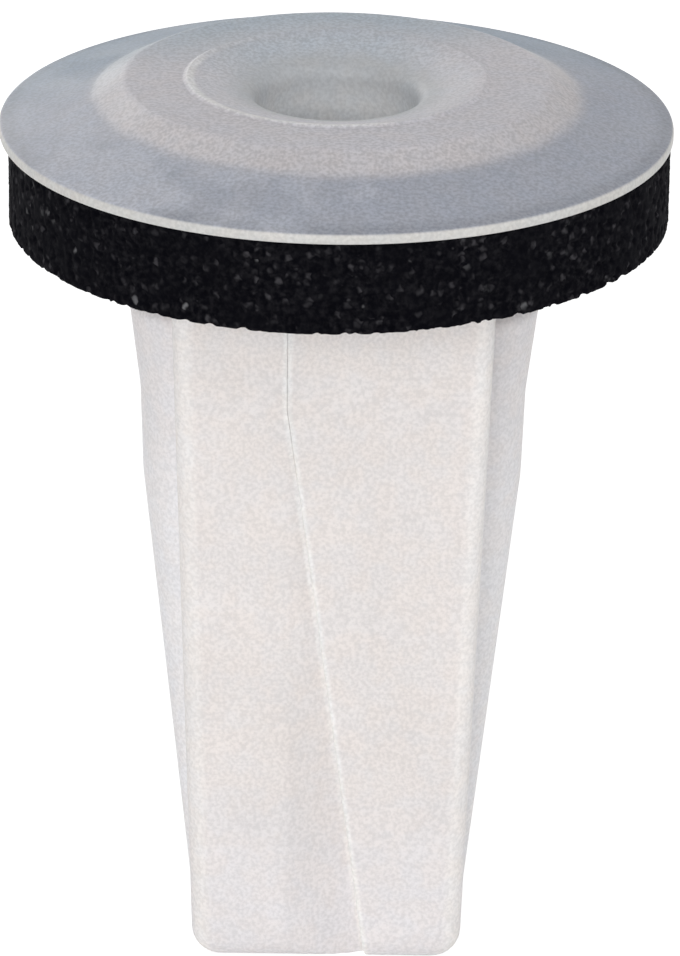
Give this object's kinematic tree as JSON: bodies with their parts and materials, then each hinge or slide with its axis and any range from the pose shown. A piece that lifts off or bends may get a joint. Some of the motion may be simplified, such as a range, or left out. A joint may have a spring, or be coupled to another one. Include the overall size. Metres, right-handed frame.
{
  "type": "expansion nut",
  "caption": "Push-in expansion nut with a dished round flange head, a split tapered square stem with side ribs, and a foam sealing washer under the head.",
  "frame": {"origin": "on the screw axis, in the plane of the underside of the sealing washer, where the panel lies", "axes": "+Z along the screw axis towards the head; -Y towards the face of the stem that the picture shows; +X to that view's right, through one of the two side ribs"},
  "size_m": [0.02, 0.02, 0.0273],
  "materials": {
    "nylon": "natural white nylon, slightly translucent, satin as moulded",
    "foam": "black open-cell foam with fine pores"
  },
  "bodies": {
    "root": {"nut_body": "nylon", "sealing_washer": "foam"}
  },
  "joints": []
}
